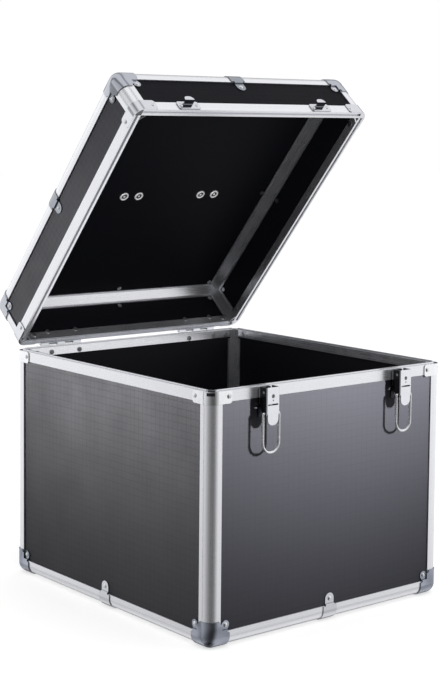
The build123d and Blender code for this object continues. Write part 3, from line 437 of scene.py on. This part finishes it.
def folded_radius(tree, place):
    """Distance from the nearest rivet axis: the length of (||x| - middle| - half, y - row), for a pair's
    middle and half the distance between its two axes."""
    xyz = add(tree, "SeparateXYZ", [place])
    folded = add(tree, "Math", [xyz.outputs["X"]], operation="ABSOLUTE")
    folded = add(tree, "Math", (folded, (near_axis + far_axis) / 2), operation="SUBTRACT")
    folded = add(tree, "Math", [folded], operation="ABSOLUTE")
    aside = add(tree, "Math", (folded, (far_axis - near_axis) / 2), operation="SUBTRACT")
    ahead = add(tree, "Math", (xyz.outputs["Y"], rivet_row), operation="SUBTRACT")
    flat = add(tree, "CombineXYZ", (aside, ahead))
    return add(tree, "VectorMath", [flat], operation="LENGTH").outputs["Value"]


def cup_washers(name):
    """Passivated zinc cups and rivet heads: bright, fine-grained and soft, with painted shade in the groove
    between.
    """
    made, tree = new_material(name)
    place = along_edges(tree, LID_TILT)
    radius = folded_radius(tree, place)
    ring = add(tree, "MapRange", (radius, RING_FROM, RING_FULL, GROOVE_SHADE, 1.0))
    head = add(tree, "MapRange", (radius, HEAD_FULL, HEAD_ENDS, 1.0, GROOVE_SHADE))
    # painted shade: between ring and head the colour falls to near black
    outside_groove_shade = add(tree, "Math", (ring, head), operation="MAXIMUM")
    colour = add(tree, "VectorMath", {0: linear("#f2f2f4")[:3], "Scale": outside_groove_shade}, operation="SCALE")
    rough = handled(tree, place, 0.3, 0.42)
    surface(tree, Base_Color=colour, Metallic=0.3, Roughness=rough, Specular_IOR_Level=0.2)
    return made


cup_zinc = cup_washers("passivated_zinc_cup_washers")
print("cups:", cup_zinc.name)

# %% [markdown]
# ## Keepers
# A keeper is a small plate with a hook that the latch's wire holds on to. The hook is bent upwards from the
# plate, and its rounded underside is painted nearly black: painted shade, and a painted reflection of the
# dark boards under it. The material finds the underside by the normal, and leaves out the plate by its
# distance from the lid.


# %% Keepers
HOOK_FULL, HOOK_FROM = 2.0 * MM, 1.4 * MM  # a hook's metal is at least this far in front of the plate's back
TURNED_DOWN = (-0.6, -0.15)  # the normal's upward part where a face is an underside, and where it isn't


def keeper_plating(name):
    """Chromed plate and hook, the hook's underside painted black as shade and as a dark reflection."""
    made, tree = new_material(name)
    place, normal = along_edges(tree, LID_TILT), along_edges(tree, LID_TILT, "Normal")
    depth = add(tree, "SeparateXYZ", [place]).outputs["Y"]
    up = add(tree, "SeparateXYZ", [normal]).outputs["Z"]
    back = lid_points("latch_keepers")[:, 1].max()
    proud = add(tree, "MapRange", (depth, back - HOOK_FULL, back - HOOK_FROM, 1.0, 0.0))
    underside = add(tree, "MapRange", (up, *TURNED_DOWN, 1.0, 0.0))
    # painted shade and painted dark reflection on the hook's underside
    painted_underside_shade = add(tree, "Math", (proud, underside), operation="MULTIPLY")
    tones = {0: painted_underside_shade, "A": linear("#d6d8de"), "B": linear("#15161a")}
    tone = add(tree, "Mix", tones, data_type="RGBA").outputs["Result"]
    # painted shade in the keeper's seams, down to 0.2
    painted_seam_shade = seam_shade(tree, SHEET_SEAM, 0.2)
    colour = add(tree, "VectorMath", {0: tone, "Scale": painted_seam_shade}, operation="SCALE")
    surface(tree, Base_Color=colour, Metallic=1.0, Roughness=handled(tree, place, 0.08, 0.2))
    print("keepers' back at y =", round(back, 4))
    return made


keeper_chrome = keeper_plating("chromed_keeper_steel")

# %% [markdown]
# ## Moulded plastic
# The corner inserts and the grip are moulded in black plastic. The mould was spark-eroded, which leaves a
# fine even grain that spreads the highlight. Two numbers tell one moulding from another: how fine the grain
# is, and how dull.


# %% Moulded plastic
GRAIN_DEPTH = 0.08 * MM  # depth of the eroded grain at a bump's full strength
SCUFF_DENSITY = 60.0  # scuffs a metre: one every 17 mm
SCUFFING = 0.06  # how far wear moves the roughness either way


def moulded(name, tone, grain, roughness):
    """Spark-eroded moulding. Even grain, in grains a metre, under a soft highlight that varies by wear."""
    made, tree = new_material(name)
    place = add(tree, "TexCoord").outputs["Object"]
    noise = add(tree, "TexNoise", {"Vector": place, "Scale": grain, "Detail": 3.0, "Roughness": 0.6})
    bump = add(tree, "Bump", {"Height": noise.outputs["Fac"], "Strength": 0.3, "Distance": GRAIN_DEPTH})
    worn = add(tree, "TexNoise", {"Vector": place, "Scale": SCUFF_DENSITY, "Detail": 4.0, "Roughness": 0.6})
    wear = (roughness - SCUFFING, roughness + SCUFFING)
    rough = add(tree, "MapRange", (worn.outputs["Fac"], *MOST_NOISE, *wear))
    surface(tree, Base_Color=linear(tone), Roughness=rough, Normal=bump)
    return made


insert_black = moulded("moulded_abs_insert", "#161618", 2200.0, 0.42)
grip_black = moulded("moulded_grip_plastic", "#1a1a1b", 1500.0, 0.48)
print("mouldings:", insert_black.name, grip_black.name)

# %% [markdown]
# ## Put the finishes on
# Every part carries the name of its material slot from CAD, and for most of them that says the finish. A few
# differ from the other parts of their slot, so they are listed by name. The boards and the extrusions also
# need to know which body they are on and which way they run, and their names say both.

# %% Which part gets which finish
RUNS = {"front": "x", "rear": "x", "left": "y", "right": "y"}
BY_NAME = {
    "lid_front_panel": board["lid_front"],
    "lid_ball_corners": drawn_steel,
    "base_ball_corners": scuffed_shaded_steel,
    "lid_edge_clips": clip_steel,
    "body_rim_brackets": bracket_steel,
    "handle_rivets": cup_zinc,
    "latch_keepers": keeper_chrome,
}
for side in ("left", "right"):
    BY_NAME[f"{side}_latch_bail"] = wire
    BY_NAME[f"{side}_latch_lever"] = cover
    BY_NAME[f"{side}_latch_base"] = dark_as_shade_plate
BY_SLOT = {
    "chromed_steel": chrome,
    "rivet_steel": zinc,
    "lock_metal": lock_metal,
    "key_steel": key_metal,
    "corner_insert_plastic": insert_black,
    "grip_plastic": grip_black,
}
print(len(BY_NAME), "parts by name, and", len(BY_SLOT), "slots with one finish each")


# %% Dress every part
def finish_for(name, slot):
    """The material for one part, from its name, or its slot and, for an extrusion, the side of the case."""
    where = "lid" if name.startswith("lid_") else "body"
    if name in BY_NAME:
        return BY_NAME[name]
    if slot == "laminate_board":
        return board[where]
    if slot == "aluminium_extrusion":
        upright = "upright" in name or "insert" in name
        return extrusion[where, "z" if upright else RUNS[name.split("_")[-1]]]
    return BY_SLOT[slot]


for name, part in nodes.items():
    for place in part.material_slots:
        place.material = finish_for(name, place.material.name.split(".")[0])
print("dressed", len(nodes), "parts")

# %% [markdown]
# ## Floor and backdrop
# The case stands on a plain white floor that runs out to a white background. The floor is an ordinary pale
# surface, so it keeps the case's soft shadow, and what the camera sees of it is lifted to white.


# %% Floor
def flat_grid(name, half, rows):
    """A square sheet on z = 0: x and y run evenly from -half to half, as a grid of rows by rows quads."""
    t = np.linspace(-half, half, rows + 1)
    x, y = np.meshgrid(t, t)
    points = np.stack([x, y, np.zeros_like(x)], -1).reshape(-1, 3)
    k = np.arange((rows + 1) ** 2).reshape(rows + 1, rows + 1)
    quads = np.stack([k[:-1, :-1], k[:-1, 1:], k[1:, 1:], k[1:, :-1]], -1).reshape(-1, 4)
    mesh = bpy.data.meshes.new(name)
    mesh.from_pydata(points, [], quads)
    made = bpy.data.objects.new(name, mesh)
    bpy.context.scene.collection.objects.link(made)
    return made


floor = flat_grid("studio_floor", 12.0, 8)
print("floor", [round(v, 2) for v in floor.dimensions])

# %% Floor paint
LIFTED = 0.6  # how much the camera's view of the floor is lifted towards white
floor_paint, tree = new_material("white_studio_paint")
seen = add(tree, "LightPath").outputs["Is Camera Ray"]
diffuse = add(tree, "BsdfDiffuse", {"Color": linear("#e8e8e8")})
lift = add(tree, "Emission", {"Color": WHITE, "Strength": LIFTED})
both = add(tree, "AddShader", (diffuse, lift))
add(tree, "OutputMaterial", {"Surface": add(tree, "MixShader", (seen, diffuse, both))})
floor.data.materials.append(floor_paint)
floor.visible_glossy = False
print("painted with", floor_paint.name)

# %% [markdown]
# ## The room that metal mirrors
# Bright metal only looks like metal when there is something to mirror. A studio gives it broad white walls
# with dark between them. The world does this with no walls at all: to a mirrored ray it is a room whose
# brightness depends on the ray's direction, to all other rays it is an even soft light, and the camera sees
# it plain white.
# The walls are described by the cosine of the angle between the ray and an azimuth, which is 1 straight along
# it. They are white all round, and dark only towards the front left, so that a rounded edge shows one soft
# dark line between two bright ones. A narrow gap between two wall panels gives the plating a dark line to
# mirror, and a grey card straight behind the case makes the outline of bright metal stand out from the white
# background.

# %% An empty world with the ray's direction
world = bpy.data.worlds.new("studio_room")
world.use_nodes = True
bpy.context.scene.world = world
sky = world.node_tree
sky.nodes.clear()
direction = add(sky, "TexCoord").outputs["Generated"]
level = add(sky, "VectorMath", (direction, (1, 1, 0)), operation="MULTIPLY")
level = add(sky, "VectorMath", [level], operation="NORMALIZE")
print("world", world.name)

# %% Walls
# azimuths are from straight in front of the case towards its left, in degrees
DARK_SIDE, WALL_GAP, GREY_CARD = 23, 180 - 48, 180 + 39
# cosine from and to, brightness at the first and at the second
RIGHT_WALL = (0.45, 0.98, 1.1, 0.1)
LEFT_WALL = (-0.4, 0.98, 1.15, 0.1)
LEFT_OF_DARK = (-0.05, 0.05, 0.0, 1.0)
GAP_SHADE = (0.988, 0.995, 1.0, 0.4)
CARD_SHADE = (0.82, 0.94, 1.0, 0.35)


def along(azimuth):
    """Cosine of the angle between the ray's level direction and an azimuth in degrees."""
    turn = math.radians(azimuth)
    way = (-math.sin(turn), -math.cos(turn), 0.0)
    return add(sky, "VectorMath", (level, way), operation="DOT_PRODUCT").outputs["Value"]


to_dark = along(DARK_SIDE)
right_wall = add(sky, "MapRange", (to_dark, *RIGHT_WALL))
left_wall = add(sky, "MapRange", (to_dark, *LEFT_WALL))
left = add(sky, "MapRange", (along(DARK_SIDE + 90), *LEFT_OF_DARK))
walls = add(sky, "Mix", {0: left, 2: right_wall, 3: left_wall})
gap = add(sky, "MapRange", (along(WALL_GAP), *GAP_SHADE))
walls = add(sky, "Math", (walls, gap), operation="MULTIPLY")
card = add(sky, "MapRange", (along(GREY_CARD), *CARD_SHADE), interpolation_type="SMOOTHSTEP")
walls = add(sky, "Math", (walls, card), operation="MULTIPLY")
print("walls with", len(sky.nodes), "nodes so far")

# %% [markdown]
# ## Ceiling and ground
# The ceiling is white, so tops of edges and corners shine. Two darker gaps between its panels run from front
# to back, and give the rounded corners of the lid their soft dark bands. Where the ceiling starts, the walls'
# darks end. Below the horizon lies a grey band where the walls meet the floor. The floor itself is brighter,
# and nearly black right under the case.

# %% Ceiling and ground
# middle and half width across the ray's direction in x, brightness in the middle
CEILING_GAPS = ((-0.6, 0.26, 0.3), (0.32, 0.2, 0.45))
# height of the ray's direction from and to, share or brightness at the first and at the second
CEILING_STARTS = (0.5, 0.75, 0.0, 1.0)
SKIRTING = (-0.38, -0.16, 0.55, 1.0)
GROUND = (-0.72, -0.45, 0.8, 0.5)
UNDERFOOT = (-0.94, -0.82, 0.2, 1.0)


def smooth(value, steps):
    """A smooth change of brightness over a value's range."""
    return add(sky, "MapRange", (value, *steps), interpolation_type="SMOOTHSTEP")


ray = add(sky, "SeparateXYZ", [direction])
ceiling = 1.0
for middle, half, darkest in CEILING_GAPS:
    off = add(sky, "Math", (ray.outputs["X"], middle), operation="SUBTRACT")
    off = add(sky, "Math", [off], operation="ABSOLUTE")
    ceiling = add(sky, "Math", (ceiling, smooth(off, (0.0, half, darkest, 1.0))), operation="MULTIPLY")
height = ray.outputs["Z"]
above = add(sky, "Mix", {0: smooth(height, CEILING_STARTS), 2: walls, 3: ceiling})
below = add(sky, "Math", (smooth(height, SKIRTING), smooth(height, GROUND)), operation="MAXIMUM")
below = add(sky, "Math", (below, smooth(height, UNDERFOOT)), operation="MULTIPLY")
room = add(sky, "Math", (above, below), operation="MULTIPLY")
print("room with", len(sky.nodes), "nodes")

# %% What each ray sees
EVEN_LIGHT = 0.6  # the soft light's level on everything that isn't mirrored
path = add(sky, "LightPath")
glossy, clear = path.outputs["Is Glossy Ray"], path.outputs["Is Transmission Ray"]
mirrored = add(sky, "Math", (glossy, clear), operation="MAXIMUM")
unseen = add(sky, "Mix", {0: mirrored, 2: EVEN_LIGHT, 3: room})
strength = add(sky, "Mix", {0: path.outputs["Is Camera Ray"], 2: unseen, 3: 1.0})
background = add(sky, "Background", {"Color": WHITE, "Strength": strength})
add(sky, "OutputWorld", {"Surface": background})
print("world made of", len(sky.nodes), "nodes")

# %% [markdown]
# ## Lamps
# Black laminate is lit with lamps of its own, because the light that gives it a sheen would burn out the
# polished metal beside it. A grid in front of a lamp keeps its light within a narrow angle, so its edge falls
# softly across a board. A small lamp to the right gives the front its gleam and throws the crisp shadows of
# the latches, and a low one at the left draws a soft gleam that fades towards the floor.
# A broad panel overhead lights everything but the lid's front. It isn't mirrored itself, because the ceiling
# already is. A small lamp looks up into the lid at the handle's rivets. In use, the pale sleeves in the case
# throw light up at its rims. The case is empty here, so a weak card inside it stands for them.


# %% A lamp and what it lights
def group(name, *part_names):
    """A collection of parts that a lamp is kept to."""
    made = bpy.data.collections.new(name)
    for part_name in part_names:
        made.objects.link(nodes[part_name])
    return made


def lamp(name, place, aim, width, height, watts, lit, grid=180):
    """A rectangular soft lamp that shines from a place towards an aim, on one collection of parts.
    The grid in front of it keeps the light within an angle, in degrees."""
    data = bpy.data.lights.new(name, "AREA")
    data.shape, data.size, data.size_y, data.energy = "RECTANGLE", width, height, watts
    data.spread = math.radians(grid)
    made = bpy.data.objects.new(name, data)
    made.location = place
    made.rotation_euler = (Vector(aim) - Vector(place)).to_track_quat("-Z", "Y").to_euler()
    made.visible_camera = False
    made.light_linking.receiver_collection = lit
    bpy.context.scene.collection.objects.link(made)
    print(name, watts, "W")
    return made


# %% Lamps for the boards
GRID = 28  # degrees that a narrow grid lets through
lamp(
    "right_board_lamp", place=(1.025, -2.05, 0.806), aim=(0.1, -0.2, 0.54), width=0.2, height=0.2, watts=12.5,
    lit=group("front_boards", "front_panel", "right_panel"), grid=GRID,
)
lamp(
    "left_board_lamp", place=(-1.33, 1.46, 0.1), aim=(-0.18, -0.15, 0.47), width=0.3, height=0.2, watts=1.05,
    lit=group("left_boards", "left_panel", "rear_panel", "lid_left_panel"), grid=GRID,
)

# %% Lamps for the whole case and for the rivets
upper_parts = group("upper_parts", *(name for name in nodes if name != "lid_front_panel"))
upper_parts.objects.link(floor)
top = lamp(
    "top_panel_lamp", place=(0.2, -0.4, 2.4), aim=(0, 0, 0.2), width=1.8, height=1.8, watts=8,
    lit=upper_parts,
)
top.visible_glossy = False
lamp(
    "rivet_lamp", place=(-0.5, -0.7, 0.35), aim=(0, 0.1, 0.6), width=0.2, height=0.2, watts=4.0,
    lit=group("inner_rivets", "handle_rivets"),
)

# %% The sleeves' light on the rims
SLEEVE_TOPS = 0.262  # height of the card in the case, where the sleeves would end
rim_parts = [name for name in nodes if "_rim_" in name and "right" not in name] + ["lid_edge_rear"]
lamp(
    "sleeve_card", place=(0, body_middle[1], SLEEVE_TOPS), aim=(0, body_middle[1], 1.0), width=0.3,
    height=0.33, watts=0.3, lit=group("rims", *rim_parts),
)

# %% [markdown]
# ## Camera
# The camera stands in front and to the left, a little above the case, with a long lens so that the upright
# edges stay nearly parallel. It looks slightly down, and the lens is shifted a little to place the case in
# the tall frame.

# %% Which way the camera looks
CAMERA_AT = (-1.203934, -1.494172, 0.567796)
YAW, PITCH, ROLL = (math.radians(v) for v in (39.2806, 4.377, -0.5541))
right = np.array([math.cos(YAW), -math.sin(YAW), 0.0])
ahead = np.array([math.sin(YAW) * math.cos(PITCH), math.cos(YAW) * math.cos(PITCH), -math.sin(PITCH)])
down = np.cross(ahead, right)
rolled_right = math.cos(ROLL) * right + math.sin(ROLL) * down
rolled_down = -math.sin(ROLL) * right + math.cos(ROLL) * down
print("camera looks along", [round(float(v), 3) for v in ahead])

# %% Camera
camera_data = bpy.data.cameras.new("camera")
camera_data.lens = 81.99
camera_data.sensor_width = 36.0
camera_data.shift_x, camera_data.shift_y = -0.01258, -0.14865
camera = bpy.data.objects.new("camera", camera_data)
pose = np.eye(4)
pose[:3] = np.stack([rolled_right, -rolled_down, -ahead, CAMERA_AT], -1)
camera.matrix_world = Matrix(pose.tolist())
bpy.context.scene.collection.objects.link(camera)
bpy.context.scene.camera = camera
bpy.context.scene.view_settings.view_transform = "Standard"
print("camera at", [round(v, 3) for v in CAMERA_AT])
